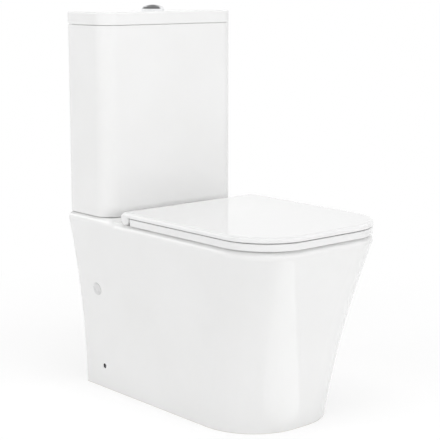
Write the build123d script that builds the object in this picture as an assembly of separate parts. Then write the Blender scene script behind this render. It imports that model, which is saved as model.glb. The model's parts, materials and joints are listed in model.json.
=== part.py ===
"""Close coupled toilet: pan, cistern, lid, seat, hinges, flush valve, fill valve and fixings.

Millimetres, +Z up, the front faces -Y. The floor is z = 0 and the wall plane is y = WALL.
Places are given as x, distance from the wall and height.
"""
import os
from math import acos, asin, atan, cos, degrees, radians, sin

from build123d import *

# Pan, outside
PAN_WIDTH = 369.0
PAN_DEPTH = 620.0
DECK_Z = 390.0
BASE_WIDTH = 288.0
BASE_DEPTH = 539.0
SIDE_CURVE_RATIO = 0.85
FRONT_CURVE_RATIO = 0.28
TOP_CORNER = 112.0
BASE_CORNER = 127.0
TOP_ROUND = 13.0
PLATFORM = 5.0
PLATFORM_LEDGE = 8.0
PLATFORM_SLOPE = 10.0
PLATFORM_ROUND = 8.0
SKIRT_WALL = 12.0
DECK_WALL = 16.0
FLARE_STEPS = 3

# Bowl and rim
RIM_SIDE = 43.0
RIM_FRONT = 46.0
RIM_REAR = 248.0
RIM_DROP = 44.0
RIM_WALL = 11.0
RIM_ROUND = 7.0
LEDGE = 9.0
BOWL_WALL = 10.0
BOWL_SOFT_RATIO = 0.78
SUMP_SOFT_RATIO = 0.92
WAIST_UP_RATIO = 0.66
WAIST_WIDTH_RATIO = 0.79
WAIST_BACK_RATIO = 0.11
SUMP_UP_RATIO = 0.38
SUMP_WIDTH_RATIO = 0.57
SUMP_BACK_RATIO = 0.32
SUMP_SINK = 2.0
SUMP_LIP = 4.0
BOWL_STEPS = 8

# Trapway and outlet
TRAP_BORE = 76.0
TRAP_WALL = 9.0
TRAP_BEND = 54.0
TRAP_RISE = 80.0
WATER_Z = 185.0
SEAL_DEPTH = 52.0
OUTLET_Z = 180.0
OUTLET_D = 70.0
OUTLET_LENGTH = 62.0
OUTLET_DIAMETER = 102.0
TONGUE = 9.0

# Flush inlet of the pan
WELL_DIAMETER = 110.0
WELL_DEPTH = 28.0
WELL_WALL = 10.0
INLET_BORE = 70.0
DUCT_WIDTH = 64.0
DUCT_DROP = 64.0
DUCT_WALL = 8.0

# Cistern and lid
CISTERN_GAP = 1.0
CISTERN_WIDTH = 361.0
CISTERN_DEPTH = 134.0
CISTERN_HEIGHT = 403.5
CISTERN_CORNER = 35.0
BACK_CORNER = 5.0
CISTERN_WALL = 9.0
CISTERN_FLOOR = 12.0
CISTERN_EDGE = 0.8
LID_HEIGHT = 27.5
LID_SHADOW = 1.0
LID_REBATE = 6.0
LID_PLATE = 10.0
LID_OVERHANG = 0.6
LID_ROUND = 3.0
LID_PLAY = 2.0
LID_RIB = 6.0
LID_RIB_DEPTH = 9.0

# Seat, cover and hinge
SEAT_INSET = 1.0
SEAT_BACK = 15.0
SEAT_GAP = 1.6
SEAT_THICKNESS = 14.5
SEAT_CORNER = 110.0
SEAT_ROUND = 2.0
SEAT_LOW_ROUND = 1.5
SEAT_REAR_CORNER = 8.0
BUMPER_RADIUS = 7.0
BUMPER_REAR = 85.0
BUMPER_FRONT = 130.0
SEAT_RING_SIDE = 70.0
SEAT_RING_FRONT = 58.0
SEAT_RING_REAR = 76.0
SEAT_HOLE_FLAT = 15.5
COVER_GAP = 1.8
COVER_ROUND = 6.0
COVER_BORDER = 14.0
COVER_INSET = 0.5
COVER_PAD_RADIUS = 3.5
COVER_PAD_OUT = 1.0
NOTCH_SKIN = 2.0
COVER_SKIN = 6.0
HINGE_D = 196.0
HINGE_UP = 14.5
ROLL_RADIUS = 13.5
ROLL_SKIN = 3.0
ROLL_REST = 1.5
HINGE_PLAY = 1.0
POST_X = 77.5
POST_WIDTH = 22.0
POST_DEPTH = 18.0
POST_SIDE_GAP = 3.5
PIN_RADIUS = 4.0
PIN_PLAY = 0.05
PIN_IN_COVER = 36.0
PIN_IN_SEAT = 26.0
DAMPER_RADIUS = 7.0
SEAT_HOLE_RADIUS = 8.0
STUD_RADIUS = 4.0
STUD_LENGTH = 46.0
STUD_IN_POST = 6.0

# Close coupling
COUPLING_CLEAR = 1.5
COUPLING_RADIUS = 4.0
COUPLING_HOLE = 6.0
INLET_EDGE = 47.5
DECK_PORT_RADIUS = 25.5
STRIP_WIDTH = 14.0
STRIP_LENGTH = 95.0
CONE_HEIGHT = 7.0
CONE_WIDE = 14.0
CONE_NARROW = 9.0
PLATE_WASHER = 2.0
PLATE_WASHER_RADIUS = 15.0
BOLT_HEAD_RADIUS = 9.5
BOLT_HEAD_HEIGHT = 5.0
BOLT_BEVEL = 1.0
BOLT_TAIL = 30.0
SLOT_WIDTH = 2.0
SLOT_DEPTH = 2.0
WING_HEIGHT = 10.0
WING_HUB = 8.0
WING_HALF = 17.0
WING_THICKNESS = 8.5
WING_DROP = 3.0
STRIP_EDGE = 13.0
DOUGHNUT_GAP = 4.0
DOUGHNUT_PLAY = 1.0

# Flush valve
VALVE_HOLE_RADIUS = 32.0
TAIL_RADIUS = 29.5
TAIL_BORE = 25.0
TAIL_LENGTH = 62.0
GASKET = 3.0
FLANGE_RADIUS = 45.0
FLANGE_HEIGHT = 8.0
SEAT_LIP = 3.0
LIP_RADIUS = 29.0
GASKET_INSET = 2.0
BACKNUT_RADIUS = 44.0
BACKNUT_HEIGHT = 13.0
NUT_NOTCHES = 12
NOTCH_RADIUS = 4.5
NOTCH_STOP = 3.0
PILLAR_ORBIT = 39.5
PILLAR_RADIUS = 3.5
PILLAR_ANGLES = (45, 135, 225, 315)
TOWER_FOOT = 4.0
TOWER_PLATE = 5.0
TOWER_EDGE = 0.5
TOWER_PLAY = 2.0
GUIDE_PLAY = 1.0
CORE_RADIUS = 17.0
CORE_WALL = 2.5
CORE_TAIL = 6.0
DISC_THICKNESS = 4.0
DISC_INSET = 2.0
SEAL_RADIUS = 33.0
LEVER_DROP = 127.0
LEVER_PIVOT_X = 29.0
LEVER_PUSH = 14.0
LEVER_LIFT = 28.0
LEVER_HALF = 3.0
LEVER_WIDTH = 10.0
LEVER_PLAY = 0.5
LEVER_HUB = 6.0
LEVER_TAIL = 4.0
LEVER_PIN_RADIUS = 2.0
LEVER_STAND = 15.5
EAR_THICKNESS = 4.0
EAR_RADIUS = 5.0
CORE_STAND = 24.5
GUIDE_LIFT = 40.0
FLOAT_CUP_LIFT = 48.0
FLOAT_CUP_HEIGHT = 55.0
FLOAT_CUP_INSET = 5.0
FLOAT_SKIN = 2.5
FLOAT_ROOF = 3.0
STIRRUP_REACH = 40.0
STIRRUP_BAR = 6.0
STIRRUP_SIDE = 4.0
STIRRUP_PLAY = 1.0
LOST_MOTION = 13.0

# Push buttons
BUTTON_RADIUS = 20.5
BUTTON_PLAY = 0.5
BUTTON_SPLIT = 7.0
BUTTON_GAP = 0.8
BUTTON_EDGE = 2.5
BUTTON_DOME = 4.5
BEZEL_RADIUS = 25.2
BEZEL_HEIGHT = 8.7
BEZEL_CUP = 8.0
BEZEL_BEVEL = 3.4
BEZEL_SLOPE = 4.4
BUTTON_SINK = 2.0
BUTTON_ROUND = 0.8
BOSS_DROP = 6.0
GUIDE_WEB = 3.0
NUT_RADIUS = 32.0
NUT_HEIGHT = 8.0
CUP_WALL = 2.5
BARREL_RADIUS = 22.0
BARREL_BORE = 20.0
BARREL_LENGTH = 43.0
ROD_X = 15.0
ROD_RADIUS = 3.0
BOSS_RADIUS = 4.5
SPRING_WIRE = 0.5
SPRING_RADIUS = 4.1
SPRING_TURNS = 7

# Fill valve
SHANK_RADIUS = 10.48
SHANK_BORE = 6.0
SHANK_DROP = 38.0
SHANK_TAIL = 24.0
SHANK_GROOVE = 2.0
SHANK_GROOVE_RADIUS = 9.6
RISER_RADIUS = 12.0
RISER_PLAY = 1.5
FILL_HEAD_DROP = 159.5
FILL_HEAD_RADIUS = 20.0
FILL_HEAD_HEIGHT = 34.0
FILL_HEAD_NECK = 2.0
FILL_HEAD_CONE = 8.0
FILL_CAP_HEIGHT = 10.0
FILL_CAP_OUT = 2.0
FILL_CAP_BEVEL = 3.0
FLOAT_RADIUS = 29.0
FLOAT_HEIGHT = 66.0
FLOAT_TRAVEL = 18.0
FLOAT_ARM = 34.0
FLOAT_ROD_RADIUS = 2.5
FLOAT_CLEAR = 6.0
FILL_LEVER_HALF = 4.0
FILL_LEVER_PLATE = 4.0
FILL_LEVER_HUB = 4.5
EYE_LENGTH = 18.0
EYE_SIDE = 2.0
EYE_SLOT = 11.0
EYE_PLAY = 0.5
ROD_IN_FLOAT = 14.0
ROD_EYE_WALL = 3.5
ROD_OVER_EYE = 12.0
COLLAR_HEIGHT = 3.0
FILL_PIVOT_LIFT = 8.0
COLLAR_GAP = 4.0
SHANK_FLANGE = 19.0
SHANK_FLANGE_HEIGHT = 5.0
SHANK_PLAY = 1.0
PLUG_DROP = 19.0
PLUG_GRIP = 10.0
PLUG_GRIP_HALF = 12.0
PLUG_GRIP_WIDTH = 4.0
INLET_GASKET_INSET = 1.0
HEX_RADIUS = 17.0
HEX_HEIGHT = 10.0

# Side fixings
CAP_D = 65.0
CAP_Z = 228.0
CAP_RADIUS = 13.5
CAP_HOLE_RADIUS = 11.5
BUSH_D = 68.0
BUSH_Z = 51.0
BUSH_RADIUS = 5.4
SCREW_RADIUS = 3.0
BRACKET_PLATE = 4.0
BRACKET_WIDTH = 40.0
BRACKET_HEIGHT = 72.0
BRACKET_FOOT = 44.0
BRACKET_HOLE = 4.0
BRACKET_BOSS = 18.0
BRACKET_BOSS_RADIUS = 9.0
BRACKET_HOLE_IN = 14.0
CAP_THICKNESS = 2.0
CAP_SINK = 1.0
CAP_PLUG = 13.0
CAP_SKIN = 1.7
BUSH_SINK = 0.8
HEAD_SINK = 5.0
SCREW_HEAD = 4.6
SCREW_HEAD_HEIGHT = 3.0
SCREW_DRIVE = 1.5
SCREW_DRIVE_DEPTH = 2.0

# Fits, and how far a cut or a joined root runs past the face it meets
FIT = 0.05
SLACK = 0.3
PAST = 1.0
UPRIGHT = (Align.CENTER, Align.CENTER, Align.MIN)

# Levels and places that follow from the sizes above
WALL = PAN_DEPTH / 2
PLATFORM_Z = DECK_Z + PLATFORM
PLATFORM_FRONT = CISTERN_DEPTH + PLATFORM_LEDGE
CISTERN_Z = PLATFORM_Z + CISTERN_GAP
TANK_FLOOR = CISTERN_Z + CISTERN_FLOOR
CISTERN_TOP = CISTERN_Z + CISTERN_HEIGHT
LID_TOP = CISTERN_TOP + LID_HEIGHT
VALVE_D = CISTERN_DEPTH / 2
INLET_X = CISTERN_WIDTH / 2 - INLET_EDGE
COUPLING_X = WELL_DIAMETER / 2 + WELL_WALL + PLATE_WASHER_RADIUS + COUPLING_CLEAR
HINGE_Z = DECK_Z + HINGE_UP
SEAT_Z = DECK_Z + SEAT_GAP
SEAT_TOP = SEAT_Z + SEAT_THICKNESS
COVER_Z = SEAT_TOP + COVER_GAP
COVER_TOP = HINGE_Z + ROLL_RADIUS
SEAT_REAR = HINGE_D + SEAT_BACK
SEAT_WIDTH = PAN_WIDTH - 2 * SEAT_INSET
SEAT_FRONT = PAN_DEPTH - SEAT_INSET
LUG_RADIUS = ROLL_RADIUS - ROLL_SKIN - HINGE_PLAY
POST_INNER = POST_X - POST_WIDTH / 2
POST_OUTER = POST_X + POST_WIDTH / 2
LUG_X = POST_INNER - POST_SIDE_GAP
KNUCKLE_X = POST_OUTER + POST_SIDE_GAP
LEVER_Z = CISTERN_TOP - LEVER_DROP
FLANGE_Z = TANK_FLOOR + GASKET
SEAL_Z = FLANGE_Z + FLANGE_HEIGHT + SEAT_LIP
FILL_HEAD_Z = CISTERN_TOP - FILL_HEAD_DROP
FLOAT_SWING = asin(FLOAT_TRAVEL / 2 / FLOAT_ARM)


def box(x0, x1, d0, d1, z0, z1):
    """A box between two x values, two distances from the wall and two heights."""
    centre = Pos((x0 + x1) / 2, WALL - (d0 + d1) / 2, (z0 + z1) / 2)
    return centre * Box(abs(x1 - x0), abs(d1 - d0), abs(z1 - z0))


def post(x, d, z0, z1, radius):
    """An upright round bar."""
    return Pos(x, WALL - d, z0) * Cylinder(radius, z1 - z0, align=UPRIGHT)


def tube(x, d, z0, z1, outer, inner):
    """An upright round tube."""
    return post(x, d, z0, z1, outer) - post(x, d, z0, z1, inner)


def bar_x(x0, x1, d, z, radius):
    """A round bar along X."""
    return Pos(x0, WALL - d, z) * Rot(0, 90, 0) * Cylinder(radius, x1 - x0, align=UPRIGHT)


def bar_y(x, d0, d1, z, radius):
    """A round bar along Y between two distances from the wall."""
    return Pos(x, WALL - d1, z) * Rot(-90, 0, 0) * Cylinder(radius, d1 - d0, align=UPRIGHT)


def slab(shape, z0, z1):
    """A plan outline made solid between two heights."""
    return extrude(Pos(0, 0, z0) * shape, amount=z1 - z0)


def plan(width, front, rear, front_corner, rear_corner=0.0):
    """A plan outline between two distances from the wall with rounded corners."""
    shape = Pos(0, WALL - (front + rear) / 2) * Rectangle(width, front - rear)
    shape = fillet(shape.vertices().sort_by(Axis.Y)[:2], front_corner)
    if rear_corner:
        shape = fillet(shape.vertices().sort_by(Axis.Y)[-2:], rear_corner)
    return shape


def turned(points):
    """A solid of revolution about the Z axis from an outline of (radius, height) points."""
    return revolve(Plane.XZ * make_face(Polyline(*points, close=True)), Axis.Z)


def pair(piece):
    """A piece and its mirror image across the centre plane, as separate solids."""
    return Compound([*piece.solids(), *mirror(piece, about=Plane.YZ).solids()])


def top_edges(solid):
    """The edges round the highest face, without those in the wall plane."""
    face = solid.faces().sort_by(Axis.Z)[-1]
    return [edge for edge in face.edges() if edge.center().Y < WALL - PAST]


def low_edges(solid):
    """The edges round the lowest face, without those in the wall plane."""
    face = solid.faces().sort_by(Axis.Z)[0]
    return [edge for edge in face.edges() if edge.center().Y < WALL - PAST]


def stand_out(reach, base, curve):
    """How far the sharp top edge of a flare stands out past its rounded edge."""
    extra = 0.0
    for _ in range(4):
        lean = atan((reach + extra - base) * (1 + curve) / DECK_Z)
        extra = TOP_ROUND * (1 + sin(lean) - cos(lean)) / cos(lean)
    return extra


def flare(base, top, curve, z):
    """A size that grows from the base to the deck, partly straight and partly curved."""
    part = z / DECK_Z
    return base + (top - base) * ((1 - curve) * part + curve * part * part)


def half_width(z):
    """Half the width of the pan's outside at a height."""
    half = PAN_WIDTH / 2
    top = half + stand_out(half, BASE_WIDTH / 2, SIDE_CURVE_RATIO)
    return flare(BASE_WIDTH / 2, top, SIDE_CURVE_RATIO, z)


def side_lean(z):
    """The angle of the pan's side from upright at a height, in degrees."""
    half = PAN_WIDTH / 2
    grows = half + stand_out(half, BASE_WIDTH / 2, SIDE_CURVE_RATIO) - BASE_WIDTH / 2
    rate = 1 - SIDE_CURVE_RATIO + 2 * SIDE_CURVE_RATIO * z / DECK_Z
    return degrees(atan(grows * rate / DECK_Z))


def pan_section(z, inset=0.0, rear=0.0):
    """The pan's plan outline at a height, or one inset from it."""
    top = PAN_DEPTH + stand_out(PAN_DEPTH, BASE_DEPTH, FRONT_CURVE_RATIO)
    front = flare(BASE_DEPTH, top, FRONT_CURVE_RATIO, z)
    corner = flare(BASE_CORNER, TOP_CORNER, 0, z)
    return Pos(0, 0, z) * plan(2 * (half_width(z) - inset), front - inset, rear, corner - inset)


def flared(z0, z1, inset=0.0, rear=0.0):
    """The pan's flared body between two heights."""
    heights = [z0 + (z1 - z0) * i / FLARE_STEPS for i in range(FLARE_STEPS + 1)]
    return loft([pan_section(z, inset, rear) for z in heights])


def basin_section(z, width, rear, front, soft, grow):
    """One soft rectangular section of the bowl, grown by a wall."""
    radius = soft * min(width, front - rear) / 2 + grow
    shape = RectangleRounded(width + 2 * grow, front - rear + 2 * grow, radius)
    return Pos(0, WALL - (front + rear) / 2, z) * shape


def trap_entry():
    """Distance from the wall at which the trapway leaves the sump, and its straight rise."""
    low = WATER_Z - SEAL_DEPTH - TRAP_BORE / 2
    peak = WATER_Z + TRAP_BORE / 2
    fall = acos(1 - (peak - OUTLET_Z) / 2 / TRAP_BEND)
    rise = radians(TRAP_RISE)
    straight = (peak - low - 2 * TRAP_BEND * (1 - cos(rise))) / sin(rise)
    run = 2 * TRAP_BEND * (sin(rise) + sin(fall)) + straight * cos(rise)
    return OUTLET_D + OUTLET_LENGTH + run, low, straight, degrees(fall)


def trap_tube(radius, tail):
    """A round bar along the trap: out of the sump, rise, weir, fall and outlet."""
    entry, low, straight, fall = trap_entry()
    with BuildLine(Plane.YZ) as path:
        up = JernArc((WALL - entry, low), (1, 0), TRAP_BEND, TRAP_RISE)
        climb = Line(up @ 1, (up @ 1) + (up % 1) * straight)
        over = JernArc(climb @ 1, climb % 1, TRAP_BEND, -TRAP_RISE - fall)
        level = JernArc(over @ 1, over % 1, TRAP_BEND, fall)
        Line(level @ 1, (level @ 1) + (level % 1) * (OUTLET_LENGTH + tail))
    return sweep(Plane(up @ 0, z_dir=up % 0) * Circle(radius), path=path.line)


def through(values, u):
    """The cubic that takes four values at u = 0, 1, 2 and 3."""
    a, b, c, d = values
    first = a * (1 - u) * (2 - u) * (3 - u) / 6 + b * u * (2 - u) * (3 - u) / 2
    return first + c * u * (u - 1) * (3 - u) / 2 + d * u * (u - 1) * (u - 2) / 6


def basin(grow):
    """The bowl below the rim ledge: four sizes each, at the ledge, waist, sump and floor."""
    entry, low, _, _ = trap_entry()
    wide = PAN_WIDTH - 2 * (RIM_SIDE + LEDGE)
    nose = PAN_DEPTH - RIM_FRONT - LEDGE
    back = RIM_REAR + LEDGE
    high = DECK_Z - RIM_DROP
    floor = low - TRAP_BORE / 2 - SUMP_SINK
    deep = high - floor
    tongue = entry + TONGUE
    exit_d = entry + SUMP_LIP
    heights = (high, floor + WAIST_UP_RATIO * deep, floor + SUMP_UP_RATIO * deep, floor - grow)
    widths = (wide, WAIST_WIDTH_RATIO * wide, SUMP_WIDTH_RATIO * wide, TRAP_BORE)
    rears = (back, (back + tongue) / 2, tongue, exit_d)
    fronts = (nose, nose - WAIST_BACK_RATIO * deep, nose - SUMP_BACK_RATIO * deep, exit_d + TRAP_BORE)
    softs = (BOWL_SOFT_RATIO, BOWL_SOFT_RATIO, SUMP_SOFT_RATIO, SUMP_SOFT_RATIO)
    sections = []
    for step in range(BOWL_STEPS + 1):
        row = [through(v, 3 * step / BOWL_STEPS) for v in (heights, widths, rears, fronts, softs)]
        sections.append(basin_section(*row, grow))
    return loft(sections, ruled=True)


def rim_hole(z0, z1, grow):
    """The upright rim opening between two heights."""
    wide = PAN_WIDTH - 2 * RIM_SIDE
    section = basin_section(0, wide, RIM_REAR, PAN_DEPTH - RIM_FRONT, BOWL_SOFT_RATIO, grow)
    return slab(section, z0, z1)


def rim_edges(body):
    """The sharp edges round the bowl's mouth in the deck."""
    levels = body.faces().filter_by(Plane.XY)
    decks = [face for face in levels if abs(face.center().Z - DECK_Z) < FIT and face.inner_wires()]
    return decks[0].inner_wires()[0].edges()


def side_place(side, d, z, depth):
    """A frame on the pan's side at a depth below its skin, with its Z axis pointing outward."""
    lean = radians(side_lean(z))
    outward = Vector(side * cos(lean), 0, -sin(lean))
    skin = Vector(side * half_width(z), WALL - d, z)
    return Plane(skin - outward * depth, x_dir=(0, 1, 0), z_dir=outward)


def pan_block():
    """The pan's outside: a flared body whose deck slopes up to a platform at the rear."""
    tall = flared(0, PLATFORM_Z)
    low = tall - box(-PAN_WIDTH, PAN_WIDTH, -PAST, 2 * PAN_DEPTH, DECK_Z, PLATFORM_Z + PAST)
    low = fillet(top_edges(low), TOP_ROUND)
    high = fillet(top_edges(tall), TOP_ROUND)
    steep = PLATFORM_SLOPE / PLATFORM
    root = DECK_Z - 3 * TOP_ROUND
    reach = PLATFORM_FRONT + (PLATFORM_Z - root) * steep
    ramp = Polyline(
        (WALL + PAST, root),
        (WALL - reach, root),
        (WALL - PLATFORM_FRONT + PAST * steep, PLATFORM_Z + PAST),
        (WALL + PAST, PLATFORM_Z + PAST),
        close=True,
    )
    rear = high & extrude(Plane.YZ * make_face(ramp), amount=PAN_WIDTH, both=True)
    slope = rear.faces().sort_by(Axis.Y)[0]
    edges = [edge for edge in slope.edges() if edge.center().Z > root + PAST]
    return low + fillet(edges, PLATFORM_ROUND)


def pan():
    """Skirt and deck: flared shell, deck plate, bowl mouth and fixing holes."""
    deck_low = DECK_Z - DECK_WALL
    under = deck_low - PAST
    over = PLATFORM_Z + PAST
    body = pan_block()
    body -= flared(-PAST, deck_low, SKIRT_WALL, -SKIRT_WALL)
    body -= rim_hole(under, over, 0)
    body = fillet(rim_edges(body), RIM_ROUND)
    body -= post(0, VALVE_D, under, over, WELL_DIAMETER / 2)
    for side in (-1, 1):
        body -= post(side * POST_X, HINGE_D, under, over, SEAT_HOLE_RADIUS)
        body -= post(side * COUPLING_X, VALVE_D, under, over, COUPLING_HOLE)
        body -= post(side * INLET_X, VALVE_D, under, over, DECK_PORT_RADIUS)
        seat = side_place(side, CAP_D, CAP_Z, CAP_SINK)
        body -= seat * Cylinder(CAP_RADIUS + SLACK, SKIRT_WALL, align=UPRIGHT)
        body -= seat * Cylinder(CAP_HOLE_RADIUS, 4 * SKIRT_WALL)
    body -= bar_x(-PAN_WIDTH, -bracket_face(), BUSH_D, BUSH_Z, BUSH_RADIUS + FIT)
    body -= bar_x(bracket_face(), PAN_WIDTH, BUSH_D, BUSH_Z, BUSH_RADIUS + FIT)
    return body


def bowl():
    """Rimless bowl, sump, flush well and duct, stuck under the deck before firing."""
    entry, low, _, _ = trap_entry()
    top = DECK_Z - DECK_WALL
    ledge_z = DECK_Z - RIM_DROP
    well_z = PLATFORM_Z - WELL_DEPTH
    duct_z = DECK_Z - DUCT_DROP
    duct_low = duct_z - DUCT_WALL
    half = DUCT_WIDTH / 2
    outer = half + DUCT_WALL
    bore = TRAP_BORE / 2
    body = rim_hole(ledge_z - RIM_WALL, top, RIM_WALL)
    body += basin(BOWL_WALL)
    body += bar_y(0, entry, entry + bore, low, bore + TRAP_WALL)
    body += post(0, VALVE_D, duct_low, top, WELL_DIAMETER / 2 + WELL_WALL)
    body += box(-outer, outer, VALVE_D, RIM_REAR, duct_low, top)
    body -= trap_tube(bore + TRAP_WALL, 0)
    body -= rim_hole(ledge_z, top + PAST, 0)
    body -= basin(0)
    body -= bar_y(0, entry - PAST, entry + bore, low, bore)
    body -= post(0, VALVE_D, well_z, top + PAST, WELL_DIAMETER / 2)
    body -= post(0, VALVE_D, duct_z, well_z + PAST, INLET_BORE / 2)
    body -= box(-half, half, VALVE_D, RIM_REAR - RIM_WALL - PAST, duct_z, top + PAST)
    return body - box(-half, half, VALVE_D, RIM_REAR + LEDGE, ledge_z + PAST, top + PAST)


def trapway():
    """Trapway from the sump over the weir to the outlet spigot."""
    body = trap_tube(TRAP_BORE / 2 + TRAP_WALL, 0)
    body += bar_y(0, OUTLET_D, OUTLET_D + OUTLET_LENGTH, OUTLET_Z, OUTLET_DIAMETER / 2)
    return body - trap_tube(TRAP_BORE / 2, PAST)


def cistern():
    """Open tank with its outlet, bolt and inlet holes."""
    outline = plan(CISTERN_WIDTH, CISTERN_DEPTH, 0, CISTERN_CORNER, BACK_CORNER)
    body = slab(outline, CISTERN_Z, CISTERN_TOP)
    body = fillet(top_edges(body) + low_edges(body), CISTERN_EDGE)
    body -= slab(inside_plan(CISTERN_WALL), TANK_FLOOR, CISTERN_TOP + PAST)
    low = CISTERN_Z - PAST
    high = TANK_FLOOR + PAST
    body -= post(0, VALVE_D, low, high, VALVE_HOLE_RADIUS)
    for side in (-1, 1):
        body -= post(side * COUPLING_X, VALVE_D, low, high, COUPLING_HOLE)
        body -= post(side * INLET_X, VALVE_D, low, high, SHANK_RADIUS + SHANK_PLAY)
    return body


def inside_plan(inset):
    """The cistern's plan outline, inset all round."""
    return plan(
        CISTERN_WIDTH - 2 * inset, CISTERN_DEPTH - inset, inset, CISTERN_CORNER - inset, BACK_CORNER
    )


def cistern_lid():
    """Lid with a shadow gap, a hollow underside, a rib in the tank's mouth and the button hole."""
    corner = CISTERN_CORNER + LID_OVERHANG
    outline = plan(CISTERN_WIDTH + 2 * LID_OVERHANG, CISTERN_DEPTH + LID_OVERHANG, 0, corner, BACK_CORNER)
    rib = CISTERN_WALL + LID_PLAY
    body = slab(outline, CISTERN_TOP + LID_SHADOW, LID_TOP)
    body = fillet(top_edges(body), LID_ROUND)
    body = fillet(low_edges(body), CISTERN_EDGE)
    body += slab(inside_plan(LID_REBATE), CISTERN_TOP, CISTERN_TOP + LID_SHADOW + PAST)
    body += slab(inside_plan(rib), CISTERN_TOP - LID_RIB_DEPTH, CISTERN_TOP + PAST)
    body -= slab(inside_plan(rib + LID_RIB), CISTERN_TOP - LID_RIB_DEPTH - PAST, LID_TOP - LID_PLATE)
    hole = BUTTON_RADIUS + BUTTON_PLAY + CUP_WALL + FIT
    body -= post(0, VALVE_D, CISTERN_TOP, LID_TOP + PAST, hole)
    return body


def seat_ring():
    """Seat ring with its opening and the hinge lug behind it."""
    outline = plan(SEAT_WIDTH, SEAT_FRONT, SEAT_REAR, SEAT_CORNER, SEAT_REAR_CORNER)
    half = SEAT_WIDTH / 2 - SEAT_RING_SIDE
    corner = half - SEAT_HOLE_FLAT
    hole = plan(2 * half, SEAT_FRONT - SEAT_RING_FRONT, SEAT_REAR + SEAT_RING_REAR, corner, corner)
    body = slab(outline, SEAT_Z, SEAT_TOP) - slab(hole, SEAT_Z - PAST, SEAT_TOP + PAST)
    body = fillet(body.faces().sort_by(Axis.Z)[-1].edges(), SEAT_ROUND)
    body = fillet(body.faces().sort_by(Axis.Z)[0].edges(), SEAT_LOW_ROUND)
    body += bar_x(-LUG_X, LUG_X, HINGE_D, HINGE_Z, LUG_RADIUS)
    body += box(-LUG_X, LUG_X, HINGE_D, SEAT_REAR + SEAT_ROUND, HINGE_Z - LUG_RADIUS + PAST, SEAT_TOP)
    reach = LUG_X - PIN_IN_SEAT - SLACK
    body -= bar_x(-LUG_X - PAST, -reach, HINGE_D, HINGE_Z, PIN_RADIUS + PIN_PLAY)
    body -= bar_x(reach, LUG_X + PAST, HINGE_D, HINGE_Z, DAMPER_RADIUS + FIT)
    return body


def seat_cover():
    """Cover: dished plate whose rear edge rolls down round the hinge axis."""
    half = PAN_WIDTH / 2 - COVER_INSET
    front = PAN_DEPTH - COVER_INSET
    body = slab(plan(2 * half, front, HINGE_D, SEAT_CORNER), COVER_Z, COVER_TOP)
    rear_y = WALL - HINGE_D
    face = body.faces().sort_by(Axis.Z)[-1]
    body = fillet([edge for edge in face.edges() if edge.center().Y < rear_y - PAST], COVER_ROUND)
    dish = plan(
        2 * (half - COVER_BORDER),
        front - COVER_BORDER,
        HINGE_D + 2 * ROLL_RADIUS,
        SEAT_CORNER - COVER_BORDER,
        COVER_BORDER,
    )
    body -= slab(dish, COVER_Z - PAST, COVER_TOP - COVER_SKIN)
    roll = bar_x(-KNUCKLE_X, KNUCKLE_X, HINGE_D, HINGE_Z, ROLL_RADIUS)
    low = HINGE_Z - ROLL_REST
    body += roll & box(-KNUCKLE_X, KNUCKLE_X, HINGE_D - ROLL_RADIUS, HINGE_D, low, COVER_TOP)
    body -= bar_x(-KNUCKLE_X, KNUCKLE_X, HINGE_D, HINGE_Z, ROLL_RADIUS - ROLL_SKIN)
    for side in (-1, 1):
        knuckle = bar_x(KNUCKLE_X, half, HINGE_D, HINGE_Z, ROLL_RADIUS)
        knuckle = fillet(knuckle.edges().filter_by(GeomType.CIRCLE).sort_by(Axis.X)[-1], COVER_ROUND)
        bore = DAMPER_RADIUS + FIT if side < 0 else PIN_RADIUS + PIN_PLAY
        socket = bar_x(KNUCKLE_X - PAST, KNUCKLE_X + PIN_IN_COVER + SLACK, HINGE_D, HINGE_Z, bore)
        behind = HINGE_D - 2 * ROLL_RADIUS
        notch = box(LUG_X, KNUCKLE_X, behind, HINGE_D, low - PAST, COVER_TOP - NOTCH_SKIN)
        if side < 0:
            knuckle = mirror(knuckle, about=Plane.YZ)
            socket = mirror(socket, about=Plane.YZ)
            notch = mirror(notch, about=Plane.YZ)
        body -= notch
        body += knuckle
        body -= socket
    return body


def seat_bumpers():
    """Four soft feet between the seat and the rim."""
    x = PAN_WIDTH / 2 - (RIM_SIDE + TOP_ROUND - RIM_ROUND) / 2
    places = (SEAT_REAR + BUMPER_REAR, PAN_DEPTH - BUMPER_FRONT)
    return pair(Part() + [post(x, d, DECK_Z, SEAT_Z, BUMPER_RADIUS) for d in places])


def cover_bumpers():
    """Four soft pads between the cover's border and the seat."""
    inset = COVER_INSET + COVER_BORDER / 2 + COVER_PAD_OUT
    side = post(PAN_WIDTH / 2 - inset, SEAT_REAR + BUMPER_REAR, SEAT_TOP, COVER_Z, COVER_PAD_RADIUS)
    nose = post(PAN_WIDTH / 8, PAN_DEPTH - inset, SEAT_TOP, COVER_Z, COVER_PAD_RADIUS)
    return pair(Part() + [side, nose])


def seat_damper():
    """Soft-close cartridge in the seat's lug, on the right."""
    body = bar_x(LUG_X - PIN_IN_SEAT, LUG_X, HINGE_D, HINGE_Z, DAMPER_RADIUS)
    return body - bar_x(0, LUG_X + PAST, HINGE_D, HINGE_Z, PIN_RADIUS + PIN_PLAY)


def cover_damper():
    """Soft-close cartridge in the cover's knuckle, on the left."""
    body = bar_x(-KNUCKLE_X - PIN_IN_COVER, -KNUCKLE_X, HINGE_D, HINGE_Z, DAMPER_RADIUS)
    return body - bar_x(-PAN_WIDTH, -LUG_X, HINGE_D, HINGE_Z, PIN_RADIUS + PIN_PLAY)


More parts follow.
